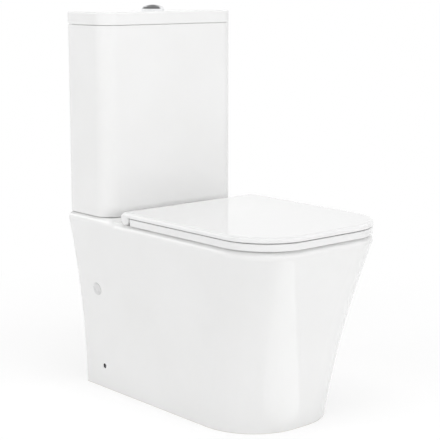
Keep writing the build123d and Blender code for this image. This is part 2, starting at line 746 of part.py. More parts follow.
def hinge_posts():
    """Two posts on the deck that carry the hinge pins."""
    half = POST_DEPTH / 2
    body = box(POST_INNER, POST_OUTER, HINGE_D - half, HINGE_D + half, DECK_Z, HINGE_Z)
    body += bar_x(POST_INNER, POST_OUTER, HINGE_D, HINGE_Z, LUG_RADIUS)
    body -= bar_x(0, PAN_WIDTH, HINGE_D, HINGE_Z, PIN_RADIUS + FIT)
    body -= post(POST_X, HINGE_D, DECK_Z - PAST, DECK_Z + STUD_IN_POST, STUD_RADIUS + FIT)
    return pair(body)


def hinge_pins():
    """Two pins through the posts, into the seat's lug and the cover's knuckles."""
    pin = bar_x(LUG_X - PIN_IN_SEAT, KNUCKLE_X + PIN_IN_COVER, HINGE_D, HINGE_Z, PIN_RADIUS)
    return pair(pin)


def seat_studs():
    """Two threaded studs that clamp the hinge posts to the deck."""
    return pair(post(POST_X, HINGE_D, DECK_Z - STUD_LENGTH, DECK_Z + STUD_IN_POST, STUD_RADIUS))


def cone_washer(x, d, z, height, wide, narrow, bore):
    """A tapered rubber washer that stands on height z, or hangs below it for a negative height."""
    outline = [(bore, 0), (wide, 0), (wide, height / 4), (narrow, height), (bore, height)]
    return Pos(x, WALL - d, z) * turned(outline)


def wing_nut(x, d, top):
    """A wing nut with its bearing face up."""
    body = post(x, d, top - WING_HEIGHT, top, WING_HUB)
    half = WING_THICKNESS / 2
    body += box(x - half, x + half, d - WING_HALF, d + WING_HALF, top - WING_HEIGHT, top - WING_DROP)
    return body - post(x, d, top - 2 * WING_HEIGHT, top + PAST, STUD_RADIUS + FIT)


def seat_cone_washers():
    """Rubber cones under the deck on the seat studs."""
    bore = STUD_RADIUS + FIT
    low = DECK_Z - DECK_WALL
    return pair(cone_washer(POST_X, HINGE_D, low, -CONE_HEIGHT, CONE_WIDE, CONE_NARROW, bore))


def seat_wing_nuts():
    """Wing nuts of the seat studs."""
    return pair(wing_nut(POST_X, HINGE_D, DECK_Z - DECK_WALL - CONE_HEIGHT))


def cistern_pads():
    """Four rubber pads between the cistern and the platform."""
    start = WELL_DIAMETER / 2 + WELL_WALL
    pads = []
    for d in (STRIP_EDGE, CISTERN_DEPTH - STRIP_EDGE - STRIP_WIDTH):
        pads.append(box(start, start + STRIP_LENGTH, d, d + STRIP_WIDTH, PLATFORM_Z, CISTERN_Z))
    return pair(Part() + pads)


def doughnut_seal():
    """Soft ring between the flush valve's backnut and the well of the pan."""
    low = PLATFORM_Z - WELL_DEPTH
    high = CISTERN_Z - BACKNUT_HEIGHT
    outer = WELL_DIAMETER / 2 - DOUGHNUT_GAP
    inner = TAIL_RADIUS + DOUGHNUT_PLAY
    taper = (high - low) / 3
    outline = [(inner, low), (outer - taper, low), (outer, low + taper), (outer, high), (inner, high)]
    return Pos(0, WALL - VALVE_D, 0) * turned(outline)


def coupling_bolts():
    """Two slotted bolts that pull the cistern down on the pan."""
    head_z = TANK_FLOOR + CONE_HEIGHT
    low = DECK_Z - DECK_WALL - BOLT_TAIL
    body = post(COUPLING_X, VALVE_D, head_z, head_z + BOLT_HEAD_HEIGHT, BOLT_HEAD_RADIUS)
    body = chamfer(body.edges().sort_by(Axis.Z)[-1], BOLT_BEVEL)
    body += post(COUPLING_X, VALVE_D, low, head_z + PAST, COUPLING_RADIUS)
    slot_z = head_z + BOLT_HEAD_HEIGHT
    half = SLOT_WIDTH / 2
    body -= box(0, PAN_WIDTH, VALVE_D - half, VALVE_D + half, slot_z - SLOT_DEPTH, slot_z + PAST)
    return pair(body)


def coupling_cone_washers():
    """Rubber cones under the bolt heads inside the tank."""
    bore = COUPLING_RADIUS + FIT
    return pair(cone_washer(COUPLING_X, VALVE_D, TANK_FLOOR, CONE_HEIGHT, CONE_WIDE, CONE_NARROW, bore))


def coupling_plate_washers():
    """Steel washers under the deck."""
    top = DECK_Z - DECK_WALL
    bore = COUPLING_RADIUS + FIT
    return pair(tube(COUPLING_X, VALVE_D, top - PLATE_WASHER, top, PLATE_WASHER_RADIUS, bore))


def coupling_wing_nuts():
    """Wing nuts of the coupling bolts."""
    return pair(wing_nut(COUPLING_X, VALVE_D, DECK_Z - DECK_WALL - PLATE_WASHER))


def valve_base():
    """Flush valve base: threaded tail, flange and the lip that the seal closes on."""
    top = FLANGE_Z + FLANGE_HEIGHT
    body = post(0, VALVE_D, FLANGE_Z, top, FLANGE_RADIUS)
    body += post(0, VALVE_D, FLANGE_Z - TAIL_LENGTH, FLANGE_Z + PAST, TAIL_RADIUS)
    body += post(0, VALVE_D, top - PAST, SEAL_Z, LIP_RADIUS)
    return body - post(0, VALVE_D, FLANGE_Z - TAIL_LENGTH - PAST, SEAL_Z + PAST, TAIL_BORE)


def valve_gasket():
    """Rubber washer between the flush valve and the tank floor."""
    return tube(0, VALVE_D, TANK_FLOOR, FLANGE_Z, FLANGE_RADIUS - GASKET_INSET, TAIL_RADIUS + FIT)


def notched_nut(top, height, radius, bore):
    """A round nut on the valve's axis with finger notches, and its bearing face up."""
    low = top - height
    body = tube(0, VALVE_D, low, top, radius, bore)
    for step in range(NUT_NOTCHES):
        turn = radians(360 * step / NUT_NOTCHES)
        d = VALVE_D + radius * sin(turn)
        body -= post(radius * cos(turn), d, low - PAST, top - NOTCH_STOP, NOTCH_RADIUS)
    return body


def valve_backnut():
    """Nut under the tank, with finger notches round it."""
    return notched_nut(CISTERN_Z, BACKNUT_HEIGHT, BACKNUT_RADIUS, TAIL_RADIUS + FIT)


def ear(x, d, front, foot_z, pivot_z):
    """An upright ear with a round top that stands on a plate and holds a lever pin."""
    d0, d1 = sorted((d, d + front * EAR_THICKNESS))
    upright = box(x - EAR_RADIUS, x + EAR_RADIUS, d0, d1, foot_z - PAST, pivot_z)
    return upright + bar_y(x, d0, d1, pivot_z, EAR_RADIUS)


def valve_tower():
    """Four pillars, a guide ring and the lever bracket of the flush valve."""
    foot_z = FLANGE_Z + FLANGE_HEIGHT
    plate_z = LEVER_Z - LEVER_STAND
    outer = PILLAR_ORBIT + PILLAR_RADIUS + TOWER_EDGE
    guide_z = (foot_z + plate_z) / 2 + GUIDE_LIFT
    body = tube(0, VALVE_D, foot_z, foot_z + TOWER_FOOT, FLANGE_RADIUS, SEAL_RADIUS + TOWER_PLAY)
    body += tube(0, VALVE_D, plate_z - TOWER_PLATE, plate_z, outer, CORE_RADIUS + TOWER_PLAY)
    body += tube(0, VALVE_D, guide_z, guide_z + TOWER_PLATE, outer, CORE_RADIUS + GUIDE_PLAY)
    for turn in PILLAR_ANGLES:
        x = PILLAR_ORBIT * cos(radians(turn))
        d = VALVE_D + PILLAR_ORBIT * sin(radians(turn))
        body += post(x, d, foot_z, plate_z, PILLAR_RADIUS)
    near = LEVER_WIDTH / 2 + LEVER_PLAY
    for side in (-1, 1):
        x = side * LEVER_PIVOT_X
        for front in (-1, 1):
            body += ear(x, VALVE_D + front * near, front, plate_z, LEVER_Z)
        body -= bar_y(x, VALVE_D - 2 * near, VALVE_D + 2 * near, LEVER_Z, LEVER_PIN_RADIUS + FIT)
    return body


def lever_pins():
    """Steel pins of the two flush levers."""
    half = LEVER_WIDTH / 2 + LEVER_PLAY + EAR_THICKNESS
    return pair(bar_y(LEVER_PIVOT_X, VALVE_D - half, VALVE_D + half, LEVER_Z, LEVER_PIN_RADIUS))


def stirrup(side, window_top):
    """The frame on one side of the core in which a lever nose lifts, with the arm below it."""
    x = side * (LEVER_PIVOT_X + LEVER_LIFT)
    half = LEVER_WIDTH / 2 + STIRRUP_PLAY
    outer = half + STIRRUP_SIDE
    bar = STIRRUP_BAR / 2
    low = LEVER_Z - STIRRUP_REACH
    frame = box(x - bar, x + bar, VALVE_D - outer, VALVE_D + outer, low, window_top + STIRRUP_BAR)
    through = STIRRUP_BAR
    frame -= box(x - through, x + through, VALVE_D - half, VALVE_D + half, low + STIRRUP_BAR, window_top)
    inner = side * (CORE_RADIUS - PAST)
    arm = LEVER_WIDTH / 2
    return frame + box(inner, x, VALVE_D - arm, VALVE_D + arm, low, low + STIRRUP_BAR)


def valve_core():
    """Overflow tube that lifts with the seal, with a stirrup for each lever."""
    touch = LEVER_Z + LEVER_HALF + LEVER_PLAY
    disc_z = SEAL_Z + GASKET
    top = LEVER_Z - CORE_STAND
    low = SEAL_Z - CORE_TAIL
    body = post(0, VALVE_D, low, top, CORE_RADIUS)
    body += post(0, VALVE_D, disc_z, disc_z + DISC_THICKNESS, SEAL_RADIUS - DISC_INSET)
    body += stirrup(-1, touch)
    body += stirrup(1, touch + LOST_MOTION)
    return body - post(0, VALVE_D, low - PAST, top + PAST, CORE_RADIUS - CORE_WALL)


def valve_seal():
    """Rubber washer that closes on the valve lip."""
    return tube(0, VALVE_D, SEAL_Z, SEAL_Z + GASKET, SEAL_RADIUS, CORE_RADIUS + FIT)


def core_float():
    """Air cup on the core, open below."""
    low = SEAL_Z + FLOAT_CUP_LIFT
    high = low + FLOAT_CUP_HEIGHT
    outer = SEAL_RADIUS - FLOAT_CUP_INSET
    body = tube(0, VALVE_D, low, high, outer, CORE_RADIUS + FIT)
    roof = high - FLOAT_ROOF
    return body - tube(0, VALVE_D, low - PAST, roof, outer - FLOAT_SKIN, CORE_RADIUS + FLOAT_SKIN)


def flush_lever(side):
    """Rocker: the push rod presses its inner end, its outer nose lifts the core."""
    x = side * LEVER_PIVOT_X
    half = LEVER_WIDTH / 2
    nose_x = side * (LEVER_PIVOT_X + LEVER_LIFT)
    tail_x = side * (LEVER_PIVOT_X - LEVER_PUSH - LEVER_TAIL)
    body = bar_y(x, VALVE_D - half, VALVE_D + half, LEVER_Z, LEVER_HUB)
    for end in (tail_x, nose_x):
        x0, x1 = sorted((x, end))
        body += box(x0, x1, VALVE_D - half, VALVE_D + half, LEVER_Z - LEVER_HALF, LEVER_Z + LEVER_HALF)
    body += bar_y(nose_x, VALVE_D - half, VALVE_D + half, LEVER_Z, LEVER_HALF)
    return body - bar_y(x, 0, CISTERN_DEPTH, LEVER_Z, LEVER_PIN_RADIUS + PIN_PLAY)


def full_flush_lever():
    """Lever of the full flush, on the left."""
    return flush_lever(-1)


def half_flush_lever():
    """Lever of the half flush, on the right."""
    return flush_lever(1)


def button_bezel():
    """Chrome rim, button cup and threaded barrel with the rod guides."""
    cup_r = BUTTON_RADIUS + BUTTON_PLAY
    cup_z = LID_TOP - BEZEL_CUP
    low = cup_z - BARREL_LENGTH
    top = LID_TOP + BEZEL_HEIGHT
    outline = [
        (cup_r, top),
        (BEZEL_RADIUS - BEZEL_BEVEL, top),
        (BEZEL_RADIUS, top - BEZEL_SLOPE),
        (BEZEL_RADIUS, LID_TOP),
        (cup_r + CUP_WALL, LID_TOP),
        (cup_r + CUP_WALL, cup_z),
        (BARREL_RADIUS, cup_z),
        (BARREL_RADIUS, low),
        (BARREL_BORE, low),
        (BARREL_BORE, cup_z + CUP_WALL),
        (cup_r, cup_z + CUP_WALL),
    ]
    body = Pos(0, WALL - VALVE_D, 0) * turned(outline)
    body += post(0, VALVE_D, low, low + GUIDE_WEB, BARREL_BORE + PAST)
    for side in (-1, 1):
        body -= post(side * ROD_X, VALVE_D, low - PAST, low + GUIDE_WEB + PAST, ROD_RADIUS + SLACK)
    return body


def button_nut():
    """Plastic nut that clamps the button set under the lid."""
    return notched_nut(LID_TOP - LID_PLATE, NUT_HEIGHT, NUT_RADIUS, BARREL_RADIUS + FIT)


def button(side):
    """One part of the split domed button, with the socket of its push rod."""
    low = LID_TOP + BEZEL_HEIGHT - BUTTON_SINK
    rim = low + BUTTON_EDGE
    top = rim + BUTTON_DOME
    ball = (BUTTON_RADIUS**2 + BUTTON_DOME**2) / 2 / BUTTON_DOME
    swing = asin(BUTTON_RADIUS / ball) / 2
    crown = (ball * sin(swing), top - ball + ball * cos(swing))
    sides = Polyline((0, top), (0, low), (BUTTON_RADIUS, low), (BUTTON_RADIUS, rim))
    dome = ThreePointArc((BUTTON_RADIUS, rim), crown, (0, top))
    half = make_face([*sides.edges(), *dome.edges()])
    half = fillet(half.vertices().sort_by_distance((BUTTON_RADIUS, rim))[0], BUTTON_ROUND)
    body = revolve(Plane.XZ * half, Axis.Z)
    body = Pos(0, WALL - VALVE_D, 0) * Rot(0, 0, 90 + side * 90) * body
    edge = BUTTON_SPLIT + side * BUTTON_GAP / 2
    x0, x1 = sorted((edge, side * 2 * BUTTON_RADIUS))
    reach = 2 * BUTTON_RADIUS
    body &= box(x0, x1, VALVE_D - reach, VALVE_D + reach, low, top + PAST)
    body += post(side * ROD_X, VALVE_D, low - BOSS_DROP, low + PAST, BOSS_RADIUS)
    return body - post(side * ROD_X, VALVE_D, low - BOSS_DROP - PAST, low, ROD_RADIUS + FIT)


def push_rod(side):
    """Plastic rod from a button down to its lever."""
    top = LID_TOP + BEZEL_HEIGHT - BUTTON_SINK
    tip = LEVER_Z + LEVER_HALF + LEVER_PLAY + ROD_RADIUS
    body = post(side * ROD_X, VALVE_D, tip, top, ROD_RADIUS)
    return body + Pos(side * ROD_X, WALL - VALVE_D, tip) * Sphere(ROD_RADIUS)


def button_spring(side):
    """Square wire coil spring round a push rod, between the guide web and the button's boss."""
    low = LID_TOP - BEZEL_CUP - BARREL_LENGTH + GUIDE_WEB + SPRING_WIRE
    high = LID_TOP + BEZEL_HEIGHT - BUTTON_SINK - BOSS_DROP - SPRING_WIRE
    coil = Helix((high - low) / SPRING_TURNS, high - low, SPRING_RADIUS)
    start = Plane(coil @ 0, x_dir=(1, 0, 0), z_dir=coil % 0)
    wire = sweep(start * Rectangle(2 * SPRING_WIRE, 2 * SPRING_WIRE), path=coil, is_frenet=True)
    return Pos(side * ROD_X, WALL - VALVE_D, low) * wire


def full_flush_button():
    """Larger button, on the left."""
    return button(-1)


def half_flush_button():
    """Smaller button, on the right."""
    return button(1)


def full_push_rod():
    """Rod of the full flush."""
    return push_rod(-1)


def half_push_rod():
    """Rod of the half flush."""
    return push_rod(1)


def full_button_spring():
    """Spring of the full flush button."""
    return button_spring(-1)


def half_button_spring():
    """Spring of the half flush button."""
    return button_spring(1)


def fill_valve_body():
    """Fill valve shank, flange and riser."""
    low = CISTERN_Z - SHANK_DROP
    groove = low + SHANK_TAIL
    body = post(INLET_X, VALVE_D, low, FLANGE_Z + PAST, SHANK_RADIUS)
    body -= tube(INLET_X, VALVE_D, groove, groove + SHANK_GROOVE, RISER_RADIUS, SHANK_GROOVE_RADIUS)
    body += post(INLET_X, VALVE_D, FLANGE_Z, FLANGE_Z + SHANK_FLANGE_HEIGHT, SHANK_FLANGE)
    body += post(INLET_X, VALVE_D, FLANGE_Z, FILL_HEAD_Z, RISER_RADIUS)
    return body - post(INLET_X, VALVE_D, low - PAST, FILL_HEAD_Z + PAST, SHANK_BORE)


def inlet_plug():
    """Plug of the spare inlet hole."""
    top = FLANGE_Z + SHANK_FLANGE_HEIGHT
    half = PLUG_GRIP_WIDTH / 2
    x0 = -INLET_X - PLUG_GRIP_HALF
    x1 = -INLET_X + PLUG_GRIP_HALF
    body = post(-INLET_X, VALVE_D, CISTERN_Z - PLUG_DROP, FLANGE_Z + PAST, SHANK_RADIUS)
    body += post(-INLET_X, VALVE_D, FLANGE_Z, top, SHANK_FLANGE)
    return body + box(x0, x1, VALVE_D - half, VALVE_D + half, top - PAST, top + PLUG_GRIP)


def inlet_gaskets():
    """Rubber washers of the fill valve and the plug."""
    outer = SHANK_FLANGE - INLET_GASKET_INSET
    return pair(tube(INLET_X, VALVE_D, TANK_FLOOR, FLANGE_Z, outer, SHANK_RADIUS + FIT))


def inlet_backnuts():
    """Hexagon nuts of the fill valve and the plug."""
    nut = Pos(INLET_X, WALL - VALVE_D, CISTERN_Z - HEX_HEIGHT) * RegularPolygon(HEX_RADIUS, 6)
    body = extrude(nut, amount=HEX_HEIGHT)
    return pair(body - post(INLET_X, VALVE_D, 0, CISTERN_TOP, SHANK_RADIUS + FIT))


def fill_head():
    """Fill valve head with its dome and the ears of the float lever."""
    top = FILL_HEAD_Z + FILL_HEAD_HEIGHT
    pivot_z = top + FILL_PIVOT_LIFT
    cap = FILL_HEAD_RADIUS + FILL_CAP_OUT
    outline = [
        (0, FILL_HEAD_Z),
        (RISER_RADIUS + FILL_HEAD_NECK, FILL_HEAD_Z),
        (FILL_HEAD_RADIUS, FILL_HEAD_Z + FILL_HEAD_CONE),
        (FILL_HEAD_RADIUS, top - FILL_CAP_HEIGHT),
        (cap, top - FILL_CAP_HEIGHT),
        (cap, top - FILL_CAP_BEVEL),
        (cap - FILL_CAP_BEVEL, top),
        (0, top),
    ]
    body = Pos(INLET_X, WALL - VALVE_D, 0) * turned(outline)
    near = FILL_LEVER_HALF + LEVER_PLAY
    for front in (-1, 1):
        body += ear(INLET_X, VALVE_D + front * near, front, top, pivot_z)
    return body - bar_y(INLET_X, 0, CISTERN_DEPTH, pivot_z, LEVER_PIN_RADIUS + FIT)


def fill_lever_pin():
    """Steel pin of the float lever."""
    half = FILL_LEVER_HALF + LEVER_PLAY + EAR_THICKNESS
    pivot_z = FILL_HEAD_Z + FILL_HEAD_HEIGHT + FILL_PIVOT_LIFT
    return bar_y(INLET_X, VALVE_D - half, VALVE_D + half, pivot_z, LEVER_PIN_RADIUS)


def fill_lever():
    """Float lever, drawn level and then swung down to where the lowered float holds it."""
    width = 2 * FILL_LEVER_HALF
    slot = 2 * (FLOAT_ROD_RADIUS + EYE_PLAY)
    arm = Pos(-FLOAT_ARM / 2, 0, 0) * Box(FLOAT_ARM, width, FILL_LEVER_PLATE)
    eye = Pos(-FLOAT_ARM, 0, 0) * Box(EYE_LENGTH, width + 2 * EYE_SIDE, FILL_LEVER_PLATE)
    hub = Rot(90, 0, 0) * Cylinder(FILL_LEVER_HUB, width)
    body = hub + arm + eye
    body -= Pos(-FLOAT_ARM, 0, 0) * Box(EYE_SLOT, slot, 2 * FILL_LEVER_PLATE)
    body -= Rot(90, 0, 0) * Cylinder(LEVER_PIN_RADIUS + PIN_PLAY, 2 * width)
    pivot_z = FILL_HEAD_Z + FILL_HEAD_HEIGHT + FILL_PIVOT_LIFT
    return Pos(INLET_X, WALL - VALVE_D, pivot_z) * Rot(0, -degrees(FLOAT_SWING), 0) * body


def fill_float():
    """Float cup round the riser, open below, with the eye of the float rod."""
    low = FILL_HEAD_Z - FLOAT_HEIGHT - FLOAT_TRAVEL - FLOAT_CLEAR
    high = low + FLOAT_HEIGHT
    rod_x = INLET_X - FLOAT_ARM
    bore = RISER_RADIUS + RISER_PLAY
    body = post(INLET_X, VALVE_D, low, high, FLOAT_RADIUS)
    body += post(rod_x, VALVE_D, high - ROD_IN_FLOAT, high, FLOAT_ROD_RADIUS + ROD_EYE_WALL)
    body -= post(INLET_X, VALVE_D, low - PAST, high + PAST, bore)
    roof = high - FLOAT_ROOF
    body -= tube(INLET_X, VALVE_D, low - PAST, roof, FLOAT_RADIUS - FLOAT_SKIN, bore + FLOAT_SKIN)
    return body - post(rod_x, VALVE_D, high - ROD_IN_FLOAT, high + PAST, FLOAT_ROD_RADIUS + FIT)


def float_rod():
    """Rod from the float up through the lever's eye, with a collar each side of it."""
    top = FILL_HEAD_Z - FLOAT_TRAVEL - FLOAT_CLEAR
    eye_z = FILL_HEAD_Z + FILL_HEAD_HEIGHT + FILL_PIVOT_LIFT - FLOAT_TRAVEL / 2
    x = INLET_X - FLOAT_ARM
    upper = eye_z + COLLAR_GAP
    lower = eye_z - COLLAR_GAP
    body = post(x, VALVE_D, top - ROD_IN_FLOAT, eye_z + ROD_OVER_EYE, FLOAT_ROD_RADIUS)
    body += post(x, VALVE_D, upper, upper + COLLAR_HEIGHT, 2 * FLOAT_ROD_RADIUS)
    return body + post(x, VALVE_D, lower - COLLAR_HEIGHT, lower, 2 * FLOAT_ROD_RADIUS)


def side_cap():
    """Blanking cap in the right side of the skirt."""
    flange = Cylinder(CAP_RADIUS, CAP_THICKNESS, align=UPRIGHT)
    flange = fillet(flange.edges().sort_by(Axis.Z)[-1], CAP_THICKNESS / 2)
    radius = CAP_HOLE_RADIUS - SLACK
    plug = Pos(0, 0, -CAP_PLUG) * Cylinder(radius, CAP_PLUG, align=UPRIGHT)
    plug -= Pos(0, 0, -CAP_PLUG) * Cylinder(radius - CAP_SKIN, CAP_PLUG - CAP_SKIN, align=UPRIGHT)
    return side_place(1, CAP_D, CAP_Z, CAP_SINK) * (flange + plug)


def side_caps():
    """Blanking caps, one each side."""
    return pair(side_cap())


def side_bushes():
    """Dark bushes of the low side fixings."""
    skin = half_width(BUSH_Z) - BUSH_SINK
    body = bar_x(skin - SKIRT_WALL + BUSH_SINK, skin, BUSH_D, BUSH_Z, BUSH_RADIUS)
    body -= bar_x(0, PAN_WIDTH, BUSH_D, BUSH_Z, SCREW_RADIUS + FIT)
    return pair(body - bar_x(skin - HEAD_SINK, PAN_WIDTH, BUSH_D, BUSH_Z, SCREW_HEAD + FIT))


def side_screws():
    """Screws from the bushes into the floor brackets."""
    head = half_width(BUSH_Z) - BUSH_SINK - HEAD_SINK
    top = head + SCREW_HEAD_HEIGHT
    body = bar_x(head, top, BUSH_D, BUSH_Z, SCREW_HEAD)
    body -= bar_x(top - SCREW_DRIVE_DEPTH, PAN_WIDTH, BUSH_D, BUSH_Z, SCREW_DRIVE)
    return pair(body + bar_x(bracket_face() - BRACKET_BOSS, head, BUSH_D, BUSH_Z, SCREW_RADIUS))


def bracket_face():
    """Where the outer face of a bracket's upright stands."""
    return half_width(0) - SKIRT_WALL - SLACK


def floor_brackets():
    """Floor brackets inside the skirt: foot, upright, ribs and the screw boss."""
    face = bracket_face()
    d0 = BUSH_D - BRACKET_WIDTH / 2
    d1 = BUSH_D + BRACKET_WIDTH / 2
    inner = face - BRACKET_FOOT
    body = box(face - BRACKET_PLATE, face, d0, d1, 0, BRACKET_HEIGHT)
    body += box(inner, face, d0, d1, 0, BRACKET_PLATE)
    for edge in (d0, d1 - BRACKET_PLATE):
        rib = Polyline((inner, BRACKET_PLATE), (face, BRACKET_PLATE), (face, BRACKET_HEIGHT), close=True)
        place = Plane((0, WALL - edge - BRACKET_PLATE, 0), x_dir=(1, 0, 0), z_dir=(0, -1, 0))
        body += extrude(place * make_face(rib), amount=-BRACKET_PLATE)
    skirt_in = half_width(BUSH_Z - BRACKET_BOSS_RADIUS) - SKIRT_WALL - FIT
    body += bar_x(face - BRACKET_BOSS, skirt_in, BUSH_D, BUSH_Z, BRACKET_BOSS_RADIUS)
    body -= bar_x(0, PAN_WIDTH, BUSH_D, BUSH_Z, SCREW_RADIUS + FIT)
    return pair(body - post(inner + BRACKET_HOLE_IN, BUSH_D, -PAST, BRACKET_PLATE + PAST, BRACKET_HOLE))


PIECES = [
    pan,
    bowl,
    trapway,
    cistern,
    cistern_lid,
    seat_ring,
    seat_cover,
    seat_bumpers,
    cover_bumpers,
    seat_damper,
    cover_damper,
    hinge_posts,
    hinge_pins,
    seat_studs,
    seat_cone_washers,
    seat_wing_nuts,
    cistern_pads,
    doughnut_seal,
    coupling_bolts,
    coupling_cone_washers,
    coupling_plate_washers,
    coupling_wing_nuts,
    valve_base,
    valve_gasket,
    valve_backnut,
    valve_tower,
    lever_pins,
    valve_core,
    valve_seal,
    core_float,
    full_flush_lever,
    half_flush_lever,
    button_bezel,
    button_nut,
    full_flush_button,
    half_flush_button,
    full_push_rod,
    half_push_rod,
    full_button_spring,
    half_button_spring,
    fill_valve_body,
    inlet_plug,
    inlet_gaskets,
    inlet_backnuts,
    fill_head,
    fill_lever_pin,
    fill_lever,
    fill_float,
    float_rod,
    side_caps,
    side_bushes,
    side_screws,
    floor_brackets,
]

os.makedirs("parts", exist_ok=True)
for piece in PIECES:
    export_step(piece(), f"parts/{piece.__name__}.step")
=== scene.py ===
"""Looks of a close coupled toilet: glazed china, gloss seat, chrome button, fittings and studio stage."""
import json
from math import radians

import bpy
from bpy.props import FloatProperty, FloatVectorProperty, PointerProperty
from mathutils import Euler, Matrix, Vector

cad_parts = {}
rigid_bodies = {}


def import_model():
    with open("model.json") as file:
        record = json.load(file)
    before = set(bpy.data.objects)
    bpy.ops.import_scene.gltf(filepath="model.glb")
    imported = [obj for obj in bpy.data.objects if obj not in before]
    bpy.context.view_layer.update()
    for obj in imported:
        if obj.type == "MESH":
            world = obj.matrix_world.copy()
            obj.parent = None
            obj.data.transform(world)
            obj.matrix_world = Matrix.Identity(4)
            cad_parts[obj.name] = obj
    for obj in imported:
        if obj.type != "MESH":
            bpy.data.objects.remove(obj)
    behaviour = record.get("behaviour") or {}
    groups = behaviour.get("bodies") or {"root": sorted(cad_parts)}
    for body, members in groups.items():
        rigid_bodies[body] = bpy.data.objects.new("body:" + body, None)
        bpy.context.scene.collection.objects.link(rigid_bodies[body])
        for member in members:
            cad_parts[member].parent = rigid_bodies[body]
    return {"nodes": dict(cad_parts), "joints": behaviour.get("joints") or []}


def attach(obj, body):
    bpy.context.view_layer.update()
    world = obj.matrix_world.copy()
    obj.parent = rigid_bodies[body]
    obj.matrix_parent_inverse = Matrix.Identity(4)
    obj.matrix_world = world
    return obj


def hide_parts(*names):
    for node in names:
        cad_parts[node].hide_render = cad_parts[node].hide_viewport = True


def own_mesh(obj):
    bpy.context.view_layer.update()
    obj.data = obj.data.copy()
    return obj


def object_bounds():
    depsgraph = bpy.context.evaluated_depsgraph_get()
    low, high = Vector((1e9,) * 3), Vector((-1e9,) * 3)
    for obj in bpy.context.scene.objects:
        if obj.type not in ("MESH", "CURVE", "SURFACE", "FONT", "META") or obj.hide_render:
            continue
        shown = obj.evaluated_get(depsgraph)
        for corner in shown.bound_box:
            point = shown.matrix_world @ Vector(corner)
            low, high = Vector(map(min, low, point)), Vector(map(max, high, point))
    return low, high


bl_info = {
    "name": "Close coupled toilet",
    "version": (1, 0, 0),
    "blender": (4, 5, 0),
    "location": "View3D > Sidebar > Toilet",
    "description": "Dresses the toilet in china, gloss plastic, chrome and rubber, and sets its studio",
    "category": "Object",
}

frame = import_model()
CAD_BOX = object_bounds()
NODES = frame["nodes"]

CHINA = ("pan", "bowl", "trapway", "cistern", "cistern_lid")
SEAT = ("seat_ring", "seat_cover")
FEET = ("seat_bumpers", "cover_bumpers")
POSTS = ("hinge_posts",)
DAMPERS = ("seat_damper", "cover_damper")
BUTTON = ("button_bezel", "full_flush_button", "half_flush_button")
PINS = ("hinge_pins", "lever_pins", "fill_lever_pin")
SPRINGS = ("full_button_spring", "half_button_spring")
FASTENERS = ("seat_studs", "coupling_bolts", "coupling_plate_washers", "coupling_wing_nuts")
BRACKETS = ("side_screws", "floor_brackets")
WASHERS = ("doughnut_seal", "seat_cone_washers", "coupling_cone_washers", "cistern_pads")
SEALS = ("valve_gasket", "valve_seal", "inlet_gaskets")
VALVES = ("valve_base", "valve_tower", "fill_valve_body", "inlet_plug", "float_rod")
NUTS = ("valve_backnut", "button_nut", "inlet_backnuts", "seat_wing_nuts")
LEVERS = ("full_flush_lever", "half_flush_lever", "fill_lever", "valve_core")
FLOATS = ("core_float", "fill_head", "fill_float", "full_push_rod", "half_push_rod")
CAPS = ("side_caps",)
BUSHES = ("side_bushes",)

# Edges sharper than this stay sharp under smooth shading
CREASE = radians(35)
GLAZE_IOR = 1.52
PLASTIC_IOR = 1.49
GLAZE_COAT = 0.25
SEAT_COAT = 0.4
COAT_ROUGHNESS = 0.03

# Range of a noise texture that is stretched to the full range of a finish, and of a glaze's clouds
NOISE_LOW = 0.35
CLOUD_LOW = 0.3
NOISE_HIGH = 0.7

WHITE = (1.0, 1.0, 1.0, 1.0)
FLOOR_REACH = 40.0
FLOOR_DROP = 0.0004
SENSOR_WIDTH = 36.0
VIEW_END = 200.0

# Name, place, width, height and power of each soft lamp that points at the middle of the toilet
SOFTBOXES = (
    ("top_softbox", (-0.3, -0.6, 3.0), 1.6, 1.6, 31.0),
    ("front_softbox", (0.4, -4.0, 0.9), 2.4, 0.9, 49.0),
    ("left_softbox", (-3.2, 1.8, 1.2), 1.5, 1.5, 29.0),
    ("right_softbox", (3.2, 1.8, 1.2), 1.5, 1.5, 29.0),
    ("high_softbox", (-2.2, -0.6, 2.4), 1.5, 1.5, 14.4),
)
# A card on the floor and a strip behind the toilet, which only glossy faces mirror
CARD_PLACE = Vector((-0.035, -0.5, 0.004))
CARD_WIDTH = 0.33
CARD_DEPTH = 0.5
CARD_POWER = 0.3
STRIP_PLACE = (-1.7, 2.3, 1.6)
STRIP_WIDTH = 2.0
STRIP_HEIGHT = 0.9
STRIP_POWER = 10.0
# Height and side, on a sphere of radius 1, where the mirrored ceiling starts to darken and is darkest
DARK_FROM_Z = 0.25
DARK_FULL_Z = 0.6
DARK_FROM_X = 0.75
DARK_FULL_X = 0.55


class ToiletChina(bpy.types.PropertyGroup):
    """Glazed china of the pan, the cistern and the lid."""

    thin: FloatVectorProperty(
        name="Thin glaze",
        description="Colour where the glaze lies thin",
        subtype="COLOR",
        min=0,
        max=1,
        default=(0.83, 0.83, 0.825),
    )
    thick: FloatVectorProperty(
        name="Thick glaze",
        description="Colour where the glaze has pooled",
        subtype="COLOR",
        min=0,
        max=1,
        default=(0.86, 0.86, 0.858),
    )
    biscuit: FloatVectorProperty(
        name="Bare foot",
        description="Colour of the unglazed foot that stands on the floor",
        subtype="COLOR",
        min=0,
        max=1,
        default=(0.74, 0.71, 0.66),
    )
    ripple: FloatProperty(
        name="Ripple",
        description="Depth of the slow waves that firing leaves in the glaze",
        unit="LENGTH",
        min=0,
        default=0.00012,
    )
    foot: FloatProperty(
        name="Bare foot height",
        description="How far up from the floor the glaze is wiped off",
        unit="LENGTH",
        min=0,
        default=0.0015,
    )


